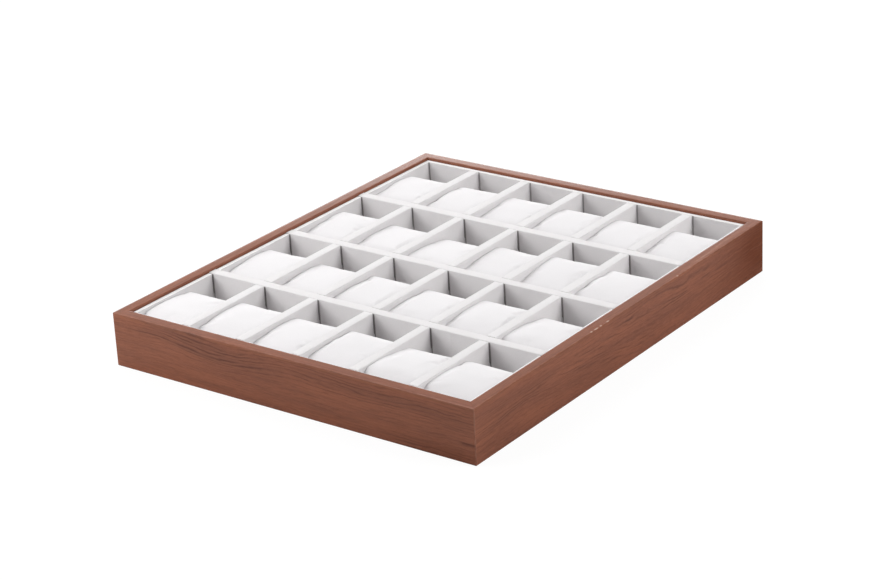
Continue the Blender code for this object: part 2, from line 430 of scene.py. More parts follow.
def read_normals(data):
    normals = np.zeros(len(data.vertices) * 3)
    data.vertex_normals.foreach_get("vector", normals)
    return normals.reshape(-1, 3)


def write_points(data, points):
    data.vertices.foreach_set("co", points.ravel())
    data.update()


def write_attribute(data, name, values):
    attribute = data.attributes.new(name, "FLOAT", "POINT")
    attribute.data.foreach_set("value", values.astype(np.float32))


def set_modifier_inputs(modifier, values):
    """Feeds a node modifier by the names of its group's inputs."""
    for item in modifier.node_group.interface.items_tree:
        if item.item_type == "SOCKET" and item.in_out == "INPUT" and item.name in values:
            modifier[item.identifier] = values[item.name]


def arc(centre, radius, start, steps):
    """Points of a quarter turn, anticlockwise from the angle start."""
    angles = [start + pi / 2 * step / steps for step in range(steps + 1)]
    return [(centre[0] + radius * cos(a), centre[1] + radius * sin(a)) for a in angles]


def between(start, end, steps):
    """Points after start and before end, evenly spaced."""
    return [tuple(a + (b - a) * n / steps for a, b in zip(start, end)) for n in range(1, steps)]


def spaced(start, end, spacing):
    """Stations from start to end, about spacing apart, both ends included."""
    count = max(1, round((end - start) / spacing))
    return [start + (end - start) * n / count for n in range(count + 1)]


def ripple(points, cell, seed):
    """Smooth noise from about -1 to 1 at each point, its waves about cell metres long."""
    shift = Vector((seed * 7.31, seed * 3.17, seed * 1.93))
    return np.array([noise.noise(Vector(point) / cell + shift) for point in points])


def make_wear_and_highlight(graph, given, result):
    """Where the edge is worn through its finish, and where a painted highlight lies on it."""
    coordinates = graph.object_place()
    cell = graph.even(given["Cell"])
    broken = graph.noise(coordinates, cell, detail=4.0, roughness=0.65)
    level = graph.times(given["Edge"], graph.remap(broken, 0.32, 0.68, 0.15, 1.0))
    graph.feed(result.inputs["Mask"], graph.times(level, given["Amount"]))


def make_nap(graph, given, result):
    """Brushed suede: soft patches where the nap lies another way, and fine fibres."""
    coordinates = graph.object_place()
    patch_cell = graph.even(given["Patch"])
    fibre_cell = graph.even(given["Fibre"])
    patches = graph.noise(coordinates, patch_cell, detail=3.0, roughness=0.55, distortion=0.6)
    fibres = graph.noise(coordinates, fibre_cell, detail=2.0, roughness=0.7)
    patch_shade = graph.swing(patches, given["Patch Strength"])
    fibre_shade = graph.swing(fibres, given["Fibre Strength"])
    shade = graph.plus(graph.plus(patch_shade, fibre_shade), 1.0)
    graph.feed(result.inputs["Colour"], graph.scaled(given["Colour"], shade))
    relief = graph.times(fibres, given["Fibre"])
    graph.feed(result.inputs["Height"], graph.times(relief, 0.35))
    graph.feed(result.inputs["Roughness"], graph.remap(patches, 0.3, 0.7, 0.88, 0.98))


def nap_node(graph, colour, nap):
    """The brushed nap of one of the NAP values, in that colour."""
    names = ("Patch", "Fibre", "Patch Strength", "Fibre Strength")
    inputs = {"Colour": "NodeSocketColor", **{name: "NodeSocketFloat" for name in names}}
    outputs = {"Colour": "NodeSocketColor", "Height": "NodeSocketFloat", "Roughness": "NodeSocketFloat"}
    tree = shader_group("brushed nap", make_nap, inputs, outputs)
    return graph.group(tree, {"Colour": rgba(colour), **dict(zip(names, nap))})


def napped_material(name, colour, nap, sheen):
    """Suede or felt: matt and brushed, with a pale sheen at a glance, painted light on the lining tops and
    painted shade in the slits.
    """
    material, graph, shader = new_material(name)
    brushed = nap_node(graph, colour, nap)
    # Painted light: a paler colour on the lining tops
    dressed = graph.mix(graph.attribute("fold"), brushed.outputs["Colour"], rgba(PAINTED_LIGHT_FOLD))
    # Painted shade: grey in the slits and the corner strips
    dressed = graph.mix(graph.attribute("bare"), dressed, rgba(SLIT_SHADE_GREY))
    graph.feed(shader.inputs["Base Color"], dressed)
    graph.feed(shader.inputs["Roughness"], brushed.outputs["Roughness"])
    graph.feed(shader.inputs["Normal"], graph.bump(brushed.outputs["Height"], 0.6))
    shader.inputs["Specular IOR Level"].default_value = 0.15
    shader.inputs["Sheen Weight"].default_value = sheen
    shader.inputs["Sheen Roughness"].default_value = 0.45
    return material


def suede_of(where, sizes):
    """The suede of the walls or of the pillows, made once."""
    name = f"brushed_suede_{where}"
    found = bpy.data.materials.get(name)
    if found:
        return found
    return napped_material(name, sizes.suede_colour, SUEDE_NAP, SUEDE_SHEEN)


def fibreboard_material():
    """Brown fibreboard with flecks of darker fibre."""
    material, graph, shader = new_material("flecked_fibreboard")
    brushed = nap_node(graph, FIBREBOARD, BOARD_NAP)
    flecks = graph.noise(graph.object_place(), FLECK_CELL, detail=3.0, roughness=0.7)
    colour = graph.mix(graph.remap(flecks, 0.60, 0.72), brushed.outputs["Colour"], rgba(FLECKS))
    graph.feed(shader.inputs["Base Color"], colour)
    graph.feed(shader.inputs["Normal"], graph.bump(brushed.outputs["Height"], 0.3))
    shader.inputs["Roughness"].default_value = 0.8
    return material


def growth_lines(graph, grain, spacing):
    """Broken, wavering lines along the grain: the dark lines, and the paler ridges between them."""
    across = graph.node("ShaderNodeSeparateXYZ", {0: grain}).outputs["Y"]
    slow = graph.times(graph.noise(grain, SLOW_WAVER, detail=1.0), 9.0 * MM)
    quick = graph.times(graph.noise(grain, QUICK_WAVER, detail=1.0), 2.2 * MM)
    waver = graph.plus(slow, quick)
    phase = graph.times(graph.plus(across, waver), 2 * pi / spacing)
    wave = graph.math("SINE", phase)
    broken = graph.remap(graph.noise(grain, LINE_BREAKS, detail=2.0, roughness=0.6), 0.34, 0.60)
    lines = graph.times(graph.remap(wave, 0.15, 0.95), broken)
    ridges = graph.times(graph.remap(wave, -0.35, -0.98), broken)
    return lines, ridges


def walnut_material(sizes):
    """Satin walnut veneer, its grain on the rail's own map, its heartwood, wear and painted highlights
    from the mesh.
    """
    material, graph, shader = new_material("satin_walnut")
    grain = graph.node("ShaderNodeUVMap", uv_map="veneer").outputs["UV"]
    heart = graph.attribute("heartwood")
    edge = graph.attribute("edge")
    chip = graph.attribute("chip")
    streak = graph.attribute("streak")
    stain = graph.attribute("stain")

    broad = graph.noise(grain, BROAD_TONE, detail=3.0, roughness=0.55, distortion=0.25)
    streaks = graph.noise(grain, STREAKS, detail=4.0, roughness=0.65, distortion=0.30)
    fibres = graph.noise(grain, FIBRES, detail=3.0, roughness=0.7)
    pores = graph.remap(graph.noise(grain, PORES, detail=1.0), 0.64, 0.72)
    lines, ridges = growth_lines(graph, grain, sizes.line_spacing)

    tone = graph.remap(broad, 0.20, 0.80)
    colour = graph.mix(tone, rgba(sizes.light_colour), rgba(sizes.middle_colour))
    depth = graph.plus(heart, graph.swing(streaks, 0.7))
    heart_mask = graph.times(graph.remap(depth, 0.05, 1.10), 0.50)
    colour = graph.mix(heart_mask, colour, rgba(sizes.dark_colour))
    colour = graph.mix(graph.times(stain, 0.9), colour, rgba(sizes.stain_colour))
    line_mask = graph.times(lines, graph.math("MULTIPLY_ADD", heart, 0.62, 0.13))
    colour = graph.mix(line_mask, colour, rgba(sizes.line_colour))
    ridge_mask = graph.times(ridges, graph.math("MULTIPLY_ADD", heart, 0.60, 0.08))
    colour = graph.mix(ridge_mask, colour, rgba(sizes.light_colour))
    fine = graph.swing(fibres, 0.60)
    streak_shade = graph.swing(streaks, 0.55)
    shade = graph.plus(graph.plus(fine, streak_shade), 1.0)
    colour = graph.scaled(colour, shade)
    pore_mask = graph.times(pores, graph.math("MULTIPLY_ADD", heart, 0.25, 0.22))
    colour = graph.mix(pore_mask, colour, rgba(sizes.line_colour))
    colour = graph.mix(streak, colour, rgba(sizes.line_colour))

    # Paler edges: wear, and a painted highlight along the rim's rounding, down the upright corners and on
    # a streak of the right rail
    wear = {"Edge": edge, "Cell": WEAR_CELL, "Amount": sizes.edge_wear_and_highlight}
    wear_inputs = {name: "NodeSocketFloat" for name in wear}
    wear_and_highlight_tree = shader_group("edge wear", make_wear_and_highlight, wear_inputs, {"Mask": "NodeSocketFloat"})
    wear_and_highlight = graph.group(wear_and_highlight_tree, wear)
    colour = graph.mix(wear_and_highlight.outputs["Mask"], colour, rgba(sizes.wear_and_highlight_colour))
    colour = graph.mix(chip, colour, rgba(sizes.core_colour))

    relief = graph.times(fibres, FIBRE_RELIEF)
    relief = graph.minus(relief, graph.times(pores, PORE_RELIEF))
    graph.feed(shader.inputs["Base Color"], colour)
    graph.feed(shader.inputs["Roughness"], graph.remap(streaks, 0.25, 0.75, 0.40, 0.52))
    graph.feed(shader.inputs["Normal"], graph.bump(relief, 0.5))
    shader.inputs["Specular IOR Level"].default_value = 0.0
    coat = graph.math("MULTIPLY_ADD", stain, -0.6 * sizes.lacquer, sizes.lacquer)
    graph.feed(shader.inputs["Coat Weight"], coat)
    shader.inputs["Coat Roughness"].default_value = 0.13
    return material


def rail_section(sizes):
    """(inwards, height) round a rail: up its outer face, over the rim and down inside."""
    outer = sizes.outer_radius
    inner = sizes.inner_radius
    foot = sizes.foot_chamfer
    outer_edge = arc((outer, RIM_HEIGHT - outer), outer, pi / 2, 7)[::-1]
    inner_edge = arc((RAIL_THICKNESS - inner, RIM_HEIGHT - inner), inner, 0, 5)[::-1]
    face = [(0.0, foot)] + between((0.0, foot), outer_edge[0], 40)
    rim = between(outer_edge[-1], inner_edge[0], 6)
    well = [(RAIL_THICKNESS, REBATE_TOP), (REBATE_FACE, REBATE_TOP), (REBATE_FACE, 0.0), (foot, 0.0)]
    inside = between(inner_edge[-1], well[0], 5)
    return face + outer_edge + rim + inner_edge + inside + well


def guide_curve(name, points, cyclic):
    """A hidden curve that a node tree sweeps along, or sweeps."""
    curve = bpy.data.curves.new(name, "CURVE")
    curve.dimensions = "3D"
    spline = curve.splines.new("POLY")
    spline.points.add(len(points) - 1)
    for place, point in zip(spline.points, points):
        place.co = (*point, 1.0)
    spline.use_cyclic_u = cyclic
    guide = bpy.data.objects.new(name, curve)
    bpy.context.scene.collection.objects.link(guide)
    guide.hide_render = True
    return guide


def rail_stations(name, length, spacing):
    """Places along a rail, closer together at its ends and at its knocks."""
    end = 3 * MM
    end_spacing = 0.25 * MM
    knock_spacing = 0.2 * MM
    least_spacing = 0.1 * MM
    half = length / 2
    stations = {round(x, 6) for x in spaced(-half + end, half - end, spacing)}
    for side in (-1, 1):
        stations |= {round(side * (half - d), 6) for d in spaced(0.0, end, end_spacing)}
    if name == "right_rail":
        for along, reach, _ in EDGE_CHIPS:
            middle = along * MM - half
            near = spaced(middle - reach * MM, middle + reach * MM, knock_spacing)
            stations |= {round(x, 6) for x in near}
    kept = []
    for x in sorted(stations):
        if not kept or x - kept[-1] > least_spacing:
            kept.append(x)
    return kept


def rail_tree():
    """Sweeps a section along a path, mitres both ends, rounds the corners and numbers the way round."""
    inputs = {
        "Path": "NodeSocketObject",
        "Section": "NodeSocketObject",
        "Half Length": "NodeSocketFloat",
        "Joint Gap": "NodeSocketFloat",
        "Corner Radius": "NodeSocketFloat",
        "Unevenness": "NodeSocketFloat",
        "Seed": "NodeSocketFloat",
        "Veneer": "NodeSocketMaterial",
    }
    outputs = {"Geometry": "NodeSocketGeometry"}
    g, given, result = new_group("GeometryNodeTree", "mitred rail", inputs, outputs)
    path = g.node("GeometryNodeObjectInfo", {"Object": given["Path"]}).outputs["Geometry"]
    section = g.node("GeometryNodeObjectInfo", {"Object": given["Section"]}).outputs["Geometry"]
    around = g.node("GeometryNodeCaptureAttribute", {"Geometry": section})
    around.capture_items.new("FLOAT", "Around")
    g.feed(around.inputs["Around"], g.node("GeometryNodeSplineParameter").outputs["Length"])
    sweep_inputs = {"Curve": path, "Profile Curve": around.outputs["Geometry"], "Fill Caps": True}
    swept = g.node("GeometryNodeCurveToMesh", sweep_inputs).outputs["Mesh"]

    place = g.node("ShaderNodeSeparateXYZ", {0: g.node("GeometryNodeInputPosition").outputs[0]})
    x, y, z = place.outputs
    shrink = g.math("DIVIDE", g.plus(y, given["Joint Gap"]), given["Half Length"])
    mitred = g.times(x, g.minus(1.0, shrink))

    radius = given["Corner Radius"]
    straight = g.minus(given["Half Length"], radius)
    past = g.math("MAXIMUM", g.minus(g.math("ABSOLUTE", mitred), straight), 0.0)
    shallow = g.math("MAXIMUM", g.minus(radius, y), 0.0)
    reach = g.math("SQRT", g.plus(g.times(past, past), g.times(shallow, shallow)))
    ratio = g.math("DIVIDE", g.math("MAXIMUM", past, shallow), g.math("MAXIMUM", reach, 1e-7))
    in_corner = g.times(g.math("GREATER_THAN", past, 0.0), g.math("GREATER_THAN", shallow, 0.0))
    rounded_x = g.times(g.math("SIGN", mitred), g.math("MULTIPLY_ADD", past, ratio, straight))
    rounded_y = g.minus(radius, g.times(shallow, ratio))
    new_x = g.node("ShaderNodeMix", {"Factor": in_corner, "A": mitred, "B": rounded_x}).outputs[0]
    new_y = g.node("ShaderNodeMix", {"Factor": in_corner, "A": y, "B": rounded_y}).outputs[0]

    spot = g.node("ShaderNodeCombineXYZ", {0: x, 1: y, 2: z}).outputs[0]
    noise_inputs = {"Vector": spot, "W": given["Seed"], "Scale": 22.0, "Detail": 1.0}
    uneven = g.node("ShaderNodeTexNoise", noise_inputs, noise_dimensions="4D").outputs[0]
    lift = g.times(g.minus(uneven, 0.5), given["Unevenness"])
    on_rim = g.math("GREATER_THAN", z, 30 * MM)
    raised = g.minus(z, g.math("ABSOLUTE", g.times(lift, on_rim)))
    new_place = g.node("ShaderNodeCombineXYZ", {0: new_x, 1: new_y, 2: raised}).outputs[0]
    moved = g.node("GeometryNodeSetPosition", {"Geometry": swept, "Position": new_place}).outputs[0]

    numbered = g.node("GeometryNodeStoreNamedAttribute", {"Geometry": moved, "Name": "around"})
    g.feed(numbered.inputs["Value"], around.outputs["Around"])
    real = g.node("GeometryNodeRealizeInstances", {"Geometry": numbered.outputs[0]}).outputs[0]
    finished = g.node("GeometryNodeSetMaterial", {"Geometry": real, "Material": given["Veneer"]})
    g.feed(result.inputs["Geometry"], finished.outputs[0])
    return g.tree


def bell(values, middle, half):
    return np.exp(-(((values - middle) / half) ** 2))


def grain_height(figure, along, height):
    """Where each point lies across the grain, once sags and arches have bent it, in millimetres."""
    bent = height.copy()
    for middle, level, half_length, half_height, drop in figure["sags"]:
        bent += drop * bell(along, middle, half_length) * bell(height, level, half_height)
    for start, end, top, foot, drop in figure.get("falls", ()):
        run = np.clip((along - start) / (end - start), 0.0, 1.0)
        depth = np.clip((top - height) / (top - foot), 0.0, 1.0)
        bent += drop * run * run * (3 - 2 * run) * depth
    if "flame" in figure:
        start, level, closing = figure["flame"]
        beyond = np.clip(along - start, 0.0, None) * closing
        arches = level + np.sqrt((bent - level) ** 2 + beyond**2)
        share = np.clip((along - start + 60.0) / 60.0, 0.0, 1.0) * bell(height, level, 14.0)
        bent = bent + (arches - bent) * share
    return bent


def heartwood(figure, along, height, grain):
    """How dark each point is, from 0 to about 1: tapering bands along the grain and slanting arms."""
    dark = np.zeros_like(along)
    for start, end, level, half_width, strength in figure["bands"]:
        middle, half_length = (start + end) / 2, (end - start) / 2
        taper = np.clip(1.0 - (np.abs(along - middle) / half_length) ** 3, 0.0, 1.0)
        wander = 1.6 * np.sin(along / 37.0 + level) + 0.8 * np.sin(along / 17.0 + 2 * level)
        dark += strength * taper * bell(grain, level + wander, half_width)
    for start, rise_start, end, rise_end, half_width, strength in figure.get("arms", ()):
        run = np.clip((along - start) / (end - start), 0.0, 1.0)
        inside = np.clip((along - start) / 12.0, 0.0, 1.0) * np.clip((end - along) / 6.0 + 0.5, 0.0, 1.0)
        middle = rise_start + (rise_end - rise_start) * run**1.2
        dark += strength * inside * bell(height, middle, half_width)
    return np.clip(dark, 0.0, 1.2)


def press_knocks(points, along, height, edge_height):
    """Presses the knocks into a rail's outer top edge, and gives how bare each point is there."""
    slant = 0.7
    bare = np.zeros_like(along)
    for place, reach, depth in EDGE_CHIPS:
        bite = bell(along, place, reach * 0.6) * bell(height, edge_height, 0.6)
        bare = np.maximum(bare, bite)
        points[:, 1] += bite * depth * MM * slant
        points[:, 2] -= bite * depth * MM * slant
    return np.clip(bare * 1.6 - 0.4, 0.0, 1.0)


def streak_marks(figure, along, height):
    """How black each point is in the figure's streaks."""
    fade = 3.0
    marks = np.zeros_like(along)
    for start, end, level, half_width, strength in figure.get("streaks", ()):
        inside = np.clip((along - start) / fade, 0.0, 1.0) * np.clip((end - along) / fade, 0.0, 1.0)
        marks = np.maximum(marks, strength * inside * bell(height, level, half_width))
    return marks


def stain_marks(figure, along, height, on_face):
    """How deep the redder stain is at each point of the face."""
    marks = np.zeros_like(along)
    for place, level, half_length, half_height, strength in figure.get("stains", ()):
        marks += strength * bell(along, place, half_length) * bell(height, level, half_height) * on_face
    return np.clip(marks, 0.0, 1.0)


def finish_veneer(name, data, length, sizes, seed):
    """Maps the veneer round the rail, and marks its heartwood, its worn edges with their painted
    highlights, and its knocks.
    """
    around = np.zeros(len(data.vertices))
    data.attributes["around"].data.foreach_get("value", around)
    points = read_points(data)
    half_length = length / MM / 2
    along = (points[:, 0] + length / 2) / MM
    height = around / MM
    figure = FIGURES[name]
    grain = grain_height(figure, along, height)
    face_top = (RIM_HEIGHT - sizes.outer_radius) / MM
    on_face = np.clip((face_top + 2.0 - height) / 2.0, 0.0, 1.0)
    edge_height = face_top + sizes.outer_radius / MM * pi / 4
    # The outer edge: partly wear, partly a painted highlight on its rounding
    edge = bell(height, edge_height, 0.55)
    # Painted highlight down the upright corners
    upright = bell(half_length - np.abs(along - half_length), 0.2, 0.5) * on_face
    knocked = np.zeros_like(along)
    if name == "right_rail":
        # Painted reflection: a long pale streak across the right rail's top, where a glint lies
        reflection_height = edge_height + 2.8 + (along - 320.0) * 0.05
        rubbed = bell(along, 335.0, 42.0) * bell(height, reflection_height, 1.0) * 1.5
        edge = np.maximum(edge, rubbed)
        knocked = press_knocks(points, along, height, edge_height)
        write_points(data, points)
    dark = heartwood(figure, along, height, grain) * (0.35 + 0.65 * on_face)
    write_attribute(data, "heartwood", dark)
    write_attribute(data, "edge", np.maximum(edge, upright))
    write_attribute(data, "chip", knocked)
    write_attribute(data, "streak", streak_marks(figure, along, height))
    write_attribute(data, "stain", stain_marks(figure, along, height, on_face))

    corners = np.zeros(len(data.loops), np.int32)
    data.loops.foreach_get("vertex_index", corners)
    shift = np.array([seed * 0.9, seed * 0.37])
    flat = np.stack([along, grain], 1)[corners] * MM + shift
    veneer = data.uv_layers.new(name="veneer")
    veneer.data.foreach_set("uv", flat.astype(np.float32).ravel())


def board_ring(half, low, lap, top, radius):
    """(across, height) round a board from its lower left corner, and its two lap points' numbers."""
    right = arc((half - radius, top - radius), radius, 0, 6)
    left = arc((radius - half, top - radius), radius, pi / 2, 6)
    ring = [(-half, low), (half, low)] + between((half, low), (half, lap), 4)
    lap_right = len(ring)
    ring += [(half, lap)] + between((half, lap), right[0], 6) + right
    ring += between(right[-1], left[0], 4) + left + between(left[-1], (-half, lap), 6)
    lap_left = len(ring)
    ring += [(-half, lap)] + between((-half, lap), (-half, low), 4)
    return ring, lap_right, lap_left


def rounding(distance, radius):
    """How far a rounded edge falls back at that distance from the end of its board."""
    short = max(0.0, radius - distance)
    return radius - sqrt(radius * radius - short * short)


def cell_corners(name):
    """X of the left wall of each cell, for a board whose front face closes cells."""
    walls = ["left_lining", *CROSS_DIVIDERS] if name in ("back_lining", *LONG_DIVIDERS) else []
    return [round(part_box(wall)[1].x + FIT_GAP, 6) for wall in walls]


def own_seed(name):
    """A number of each board's own, so that no two of them wave alike."""
    return sum(ord(letter) * place for place, letter in enumerate(name, 1)) % 97


def board_stations(name, sizes, cuts, notches):
    """Places along a board, but its end, and for each whether it is notched and whether it lies in a
    corner strip of painted shade.
    """
    soft = sizes.corner_rounding
    margin = sizes.painted_shade_margin
    corners = cell_corners(name)
    creases = [(x, width) for board, x, _, width in WALL_CREASES if board == name]
    cuts = sorted({round(place, 6) for place in (*cuts, *corners)})
    stations, notched, painted_shade_strip = [], [], []
    for near, far in zip(cuts, cuts[1:]):
        in_notch = any(a - CLOSE <= near and far <= b + CLOSE for a, b in notches)
        inner = {round(x, 6) for x in spaced(near, far, sizes.board_spacing)}
        if not in_notch:
            for share in (0.12, 0.35, 0.65, 1.0):
                inner |= {round(near + share * soft, 6), round(far - share * soft, 6)}
        if near in corners:
            inner = {x for x in inner if x <= near or x >= near + 2 * margin}
            inner.add(round(near + margin, 6))
        for crease_x, width in creases:
            inner |= {round((crease_x + width * step / 2) * MM, 6) for step in range(-4, 5)}
        inner = sorted(x for x in inner if near - CLOSE <= x < far - 1e-5)
        stations += inner
        notched += [in_notch] * len(inner)
        painted_shade_strip += [near in corners and x < near + margin - CLOSE for x in inner]
    return stations, notched, painted_shade_strip


def wrapped_board(name, sizes, radius, wrap, notches, missing):
    """A suede-wrapped board. Its missing half, upper or lower, is left out in each (start, end) notch."""
    low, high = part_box(name)
    high.z += wrap
    size = high - low
    along_x = size.x > size.y
    start, end = (low.x, high.x) if along_x else (low.y - FIT_GAP, high.y)
    middle = (low.y + high.y) / 2 if along_x else (low.x + high.x) / 2
    half = min(size.x, size.y) / 2
    ring, lap_right, lap_left = board_ring(half, low.z, LAP_LEVEL, high.z, radius)
    count = len(ring)
    upper = set(range(lap_right + 1, lap_left))
    edge_side = set(range(lap_right, lap_left + 1))
    walls = [place for notch in notches for place in notch]
    margin = sizes.painted_shade_margin
    creases = [crease for crease in WALL_CREASES if crease[0] == name]
    stations, notched, painted_shade_strip = board_stations(name, sizes, (start, end, *walls), notches)
    kinds = [missing if gap else "none" for gap in notched]
    stations.append(end)

    seed = own_seed(name)
    slit_walls = [] if along_x else [place for place, _ in notches] + [end]
    mesh = bmesh.new()
    made = {}

    def corner(station, i):
        if (station, i) not in made:
            place = stations[station]
            across, height = ring[i]
            half_here = "upper" if i in upper else "lower"
            edges = [end, *walls] if missing == half_here else [end]
            if i in (lap_right, lap_left):
                edges = []
            turns = [rounding(abs(place - edge), sizes.corner_rounding) for edge in edges]
            fall = max(turns, default=0.0)
            depth = min(1.0, max(0.0, (high.z - height) / (high.z - LAP_LEVEL)))
            for wall in slit_walls:
                if place < wall + CLOSE and i in edge_side:
                    place -= sizes.slit * max(0.0, 1.0 - (wall - place) / sizes.slit_reach)
            if station and painted_shade_strip[station - 1]:
                place += margin * 0.45 * (depth - 0.7)
            side = 1 if across > 0 else -1
            face_spot = (place / WAVE_ALONG, height / WAVE_UP, seed + FACE_SHIFT * side)
            top_spot = (place / TOP_WAVE, 0.0, seed + TOP_SHIFT)
            sideways = noise.noise(Vector(face_spot))
            upwards = noise.noise(Vector(top_spot))
            share = min(1.0, abs(across) / half)
            across += sizes.waviness * sideways * share - side * fall * share
            if height > high.z - radius - CLOSE:
                height += sizes.waviness * 0.5 * min(0.0, upwards) - fall
            for _, crease_x, rise, width in creases:
                if along_x and ring[i][0] < 0 and height < high.z - radius:
                    across -= rise * MM * float(bell(np.array(place), crease_x * MM, width * MM))
            spot = (place, middle + across, height) if along_x else (middle - across, place, height)
            made[station, i] = mesh.verts.new(spot)
        return made[station, i]

    chain = {"none": list(range(count)) + [0]}
    chain["upper"] = list(range(lap_left, count)) + list(range(0, lap_right + 1)) + [lap_left]
    chain["lower"] = list(range(lap_right, lap_left + 1)) + [lap_right]
    bare, painted_light_tops = [], []
    for station, kind in enumerate(kinds):
        for i, j in zip(chain[kind], chain[kind][1:]):
            spots = ((station, i), (station, j), (station + 1, j), (station + 1, i))
            mesh.faces.new([corner(*spot) for spot in spots])
            # Painted shade on the faces inside a slot and on the strip in a cell's corner
            crossed = kind == "lower" and abs(ring[i][0]) == abs(ring[j][0]) == half
            short = painted_shade_strip[station] and ring[i][0] == ring[j][0] == -half
            bare.append(1.0 if crossed or short else 0.0)
            # Painted light on the suede over a lining's top
            over = wrap and min(ring[i][1], ring[j][1]) > high.z - radius - CLOSE
            painted_light_tops.append(1.0 if over else 0.0)
    caps = [chain[kinds[0]], chain[kinds[-1]]]
    mesh.faces.new([corner(0, i) for i in caps[0][:-1]])
    mesh.faces.new([corner(len(kinds), i) for i in caps[1][:-1]])
    # Painted shade on the end cap that meets a wall
    bare += [0.0, 1.0 if slit_walls else 0.0]
    gone = "lower" if missing == "upper" else "upper"
    # Painted shade on each step where a notch starts or ends
    for station in range(1, len(kinds)):
        if kinds[station] != kinds[station - 1]:
            mesh.faces.new([corner(station, i) for i in chain[gone][:-1]])
            bare.append(1.0)
    data = mesh_from(name, mesh)
    painted_light_tops += [0.0] * (len(bare) - len(painted_light_tops))
    data.attributes.new("bare", "FLOAT", "FACE").data.foreach_set("value", bare)
    data.attributes.new("fold", "FLOAT", "FACE").data.foreach_set("value", painted_light_tops)
    return data


def slots_for(crossing, axis, reach=FIT_GAP):
    """(start, end) of the slot that each crossing board needs, along X (axis 0) or Y (axis 1)."""
    return [(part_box(name)[0][axis] - reach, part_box(name)[1][axis] + reach) for name in crossing]


def make_soft_slab(name, sizes, seed, edge):
    """A thin sheet of cloth or felt in its node's place, a little uneven, with a soft edge."""
    low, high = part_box(name)
    xs = spaced(low.x, high.x, 4 * MM)
    ys = spaced(low.y, high.y, 4 * MM)
    mesh = bmesh.new()
    levels = {}
    for level in (0, 1):
        for i, x in enumerate(xs):
            for j, y in enumerate(ys):
                rim = min(x - low.x, high.x - x, y - low.y, high.y - y)
                round_off = edge if rim < CLOSE else 0.0
                wave = 0.5 + 0.5 * noise.noise(Vector((x / 0.03, y / 0.03, seed)))
                fall = sizes.waviness * wave * (1.0 if rim > CLOSE else 0.0)
                z = high.z - round_off - fall if level else low.z + round_off
                levels[level, i, j] = mesh.verts.new((x, y, z))
    for i in range(len(xs) - 1):
        for j in range(len(ys) - 1):
            for level in (0, 1):
                around = [(i, j), (i + 1, j), (i + 1, j + 1), (i, j + 1)]
                mesh.faces.new([levels[(level, *spot)] for spot in around])
    last_x, last_y = len(xs) - 1, len(ys) - 1
    rim = [(i, 0) for i in range(last_x)] + [(last_x, j) for j in range(last_y)]
    rim += [(i, last_y) for i in range(last_x, 0, -1)] + [(0, j) for j in range(last_y, 0, -1)]
    for near, far in zip(rim, rim[1:] + rim[:1]):
        mesh.faces.new([levels[(0, *near)], levels[(0, *far)], levels[(1, *far)], levels[(1, *near)]])
    return mesh_from(name, mesh)


def pillow_outline(length, height, sizes, inset):
    """(along Y, height) round a pillow, from its back foot over the top, drawn in by inset."""
    foot = 7.0 * MM
    crown_steps = 12
    half = length / 2
    edge = height - sizes.crown
    shoulder = sizes.shoulder_radius
    flat = half - shoulder
    back_foot = arc((half - foot, foot), foot - inset, -pi / 2, 4)
    back = arc((flat, edge - shoulder), shoulder - inset, 0, 8)
    crown = []
    for step in range(1, crown_steps):
        y = flat * (1 - 2 * step / crown_steps)
        crown.append((y, edge - inset + sizes.crown * (1 - (y / flat) ** 2)))
    front = [(-y, z) for y, z in reversed(back)]
    front_foot = [(-y, z) for y, z in reversed(back_foot)]
    return back_foot + back + crown + front + front_foot


def pillow_lie(name):
    """How far a pillow, such as pillow_r2c5, is raised, tipped, leaned and set back."""
    row, column = int(name[-3]), int(name[-1])
    words = PILLOW_ROWS[row - 1][column - 1].split()
    return [meanings[word] for meanings, word in zip((FILLINGS, TIPS, LEANS, PLACES), words)]


def pillow_blank(name, sizes):
    """The cushion before it is filled: a little small for its place, and leaning as it lies there."""
    low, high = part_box(name)
    size = high - low
    middle = (low + high) / 2
    raised, pitch, roll, back = pillow_lie(name)
    slack = sizes.slack
    side_radius = sizes.side_radius
    mesh = bmesh.new()
    rings = []
    side_steps = 4
    for side in (-1, 1):
        turns = [step / side_steps for step in range(side_steps + 1)]
        if side == 1:
            turns.reverse()
        for turn in turns:
            inset = side_radius * (1 - sin(turn * pi / 2))
            x = side * (size.x / 2 - slack - side_radius * (1 - cos(turn * pi / 2)))
            outline = pillow_outline(size.y - 2 * slack, size.z - slack, sizes, inset)
            ring = []
            for y, z in outline:
                share = z / size.z
                z += (raised * MM - y * sin(radians(pitch)) + x * sin(radians(roll))) * share
                ring.append(mesh.verts.new((middle.x + x, middle.y + y + back * MM, low.z + z)))
            rings.append(ring)
    for near, far in zip(rings, rings[1:]):
        for i in range(len(near)):
            j = (i + 1) % len(near)
            mesh.faces.new((near[i], near[j], far[j], far[i]))
    mesh.faces.new(rings[0])
    mesh.faces.new(rings[-1])
    return mesh_from(name + "_blank", mesh)


